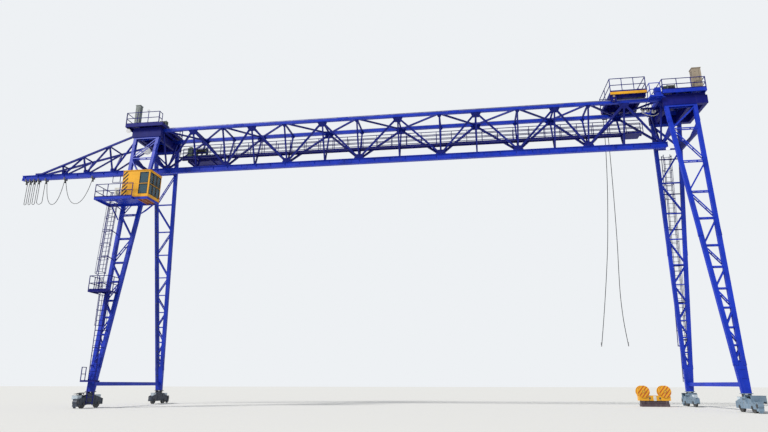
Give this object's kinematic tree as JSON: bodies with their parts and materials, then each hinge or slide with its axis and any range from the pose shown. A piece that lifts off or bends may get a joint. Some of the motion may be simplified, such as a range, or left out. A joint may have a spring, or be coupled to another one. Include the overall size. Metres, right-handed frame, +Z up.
{
  "type": "gantry crane (half-size scale model)",
  "caption": "Lattice gantry crane on two braced supports, with a triangular bridge, a cantilever, a side cabin and a trolley on top.",
  "frame": {"origin": "centre of the crane's length and width at the level of the rail head under the wheels", "axes": "+X along the bridge away from the cantilever, +Y along the ground rails away from the cabin side, +Z up"},
  "size_m": [28.1, 6.18, 12.155],
  "materials": {
    "structure_blue": "satin",
    "dark_blue": "satin",
    "cabin_yellow": "satin",
    "winch_green": "satin",
    "cabinet_grey": "satin",
    "cabinet_tan": "satin",
    "gear_grey": "satin",
    "gear_dark": "satin",
    "dark_steel": "matte",
    "rusty_floor": "matte",
    "window_glass": "clear",
    "unit_white": "satin",
    "cable_rubber": "matte",
    "rope_steel": "matte"
  },
  "bodies": {
    "crane": {"lower_chord": "structure_blue", "front_top_chord": "structure_blue", "rear_top_chord": "structure_blue", "front_truss_web": "structure_blue", "rear_truss_web": "structure_blue", "top_bracing": "dark_blue", "cantilever_stays": "structure_blue", "walkway_deck": "dark_blue", "walkway_railings": "dark_blue", "winch_platform": "dark_blue", "bridge_winch": "winch_green", "near_left_leg": "structure_blue", "far_left_leg": "structure_blue", "near_right_leg": "structure_blue", "far_right_leg": "structure_blue", "tie_beams": "structure_blue", "crossheads": "dark_blue", "left_head_frame": "dark_blue", "right_head_frame": "dark_blue", "left_head_deck": "structure_blue", "right_head_deck": "structure_blue", "left_head_railing": "dark_blue", "right_head_railing": "dark_blue", "boarding_platform": "structure_blue", "left_cabinet": "cabinet_grey", "right_cabinet": "cabinet_tan", "head_winches": "winch_green", "cabin_platform": "structure_blue", "cabin_railing": "dark_blue", "cabin_floor": "rusty_floor", "cabin_walls": "cabin_yellow", "cabin_roof": "cabin_yellow", "cabin_windows": "window_glass", "cooling_unit": "unit_white", "middle_platform": "dark_blue", "foot_landing": "dark_blue", "left_ladders": "dark_blue", "right_ladder": "dark_blue", "left_bogies": "gear_dark", "right_bogies": "gear_grey", "travel_wheels": "dark_steel", "travel_drives": "gear_grey", "festoon_carriers": "dark_steel", "festoon_cable": "cable_rubber", "hook_traverse": "cabin_yellow", "traverse_base": "gear_dark", "traverse_sheaves": "cabin_yellow"},
    "trolley": {"trolley_frame": "dark_blue", "trolley_edge_beams": "cabin_yellow", "trolley_railing": "dark_blue", "trolley_wheels": "dark_steel", "trolley_hoist": "dark_steel", "near_hoist_rope": "rope_steel", "far_hoist_rope": "rope_steel"}
  },
  "joints": [
    {"name": "trolley_travel", "type": "slide", "parent": "crane", "child": "trolley", "axis": [1, 0, 0], "range_m": [-15.85, 0.03]}
  ]
}
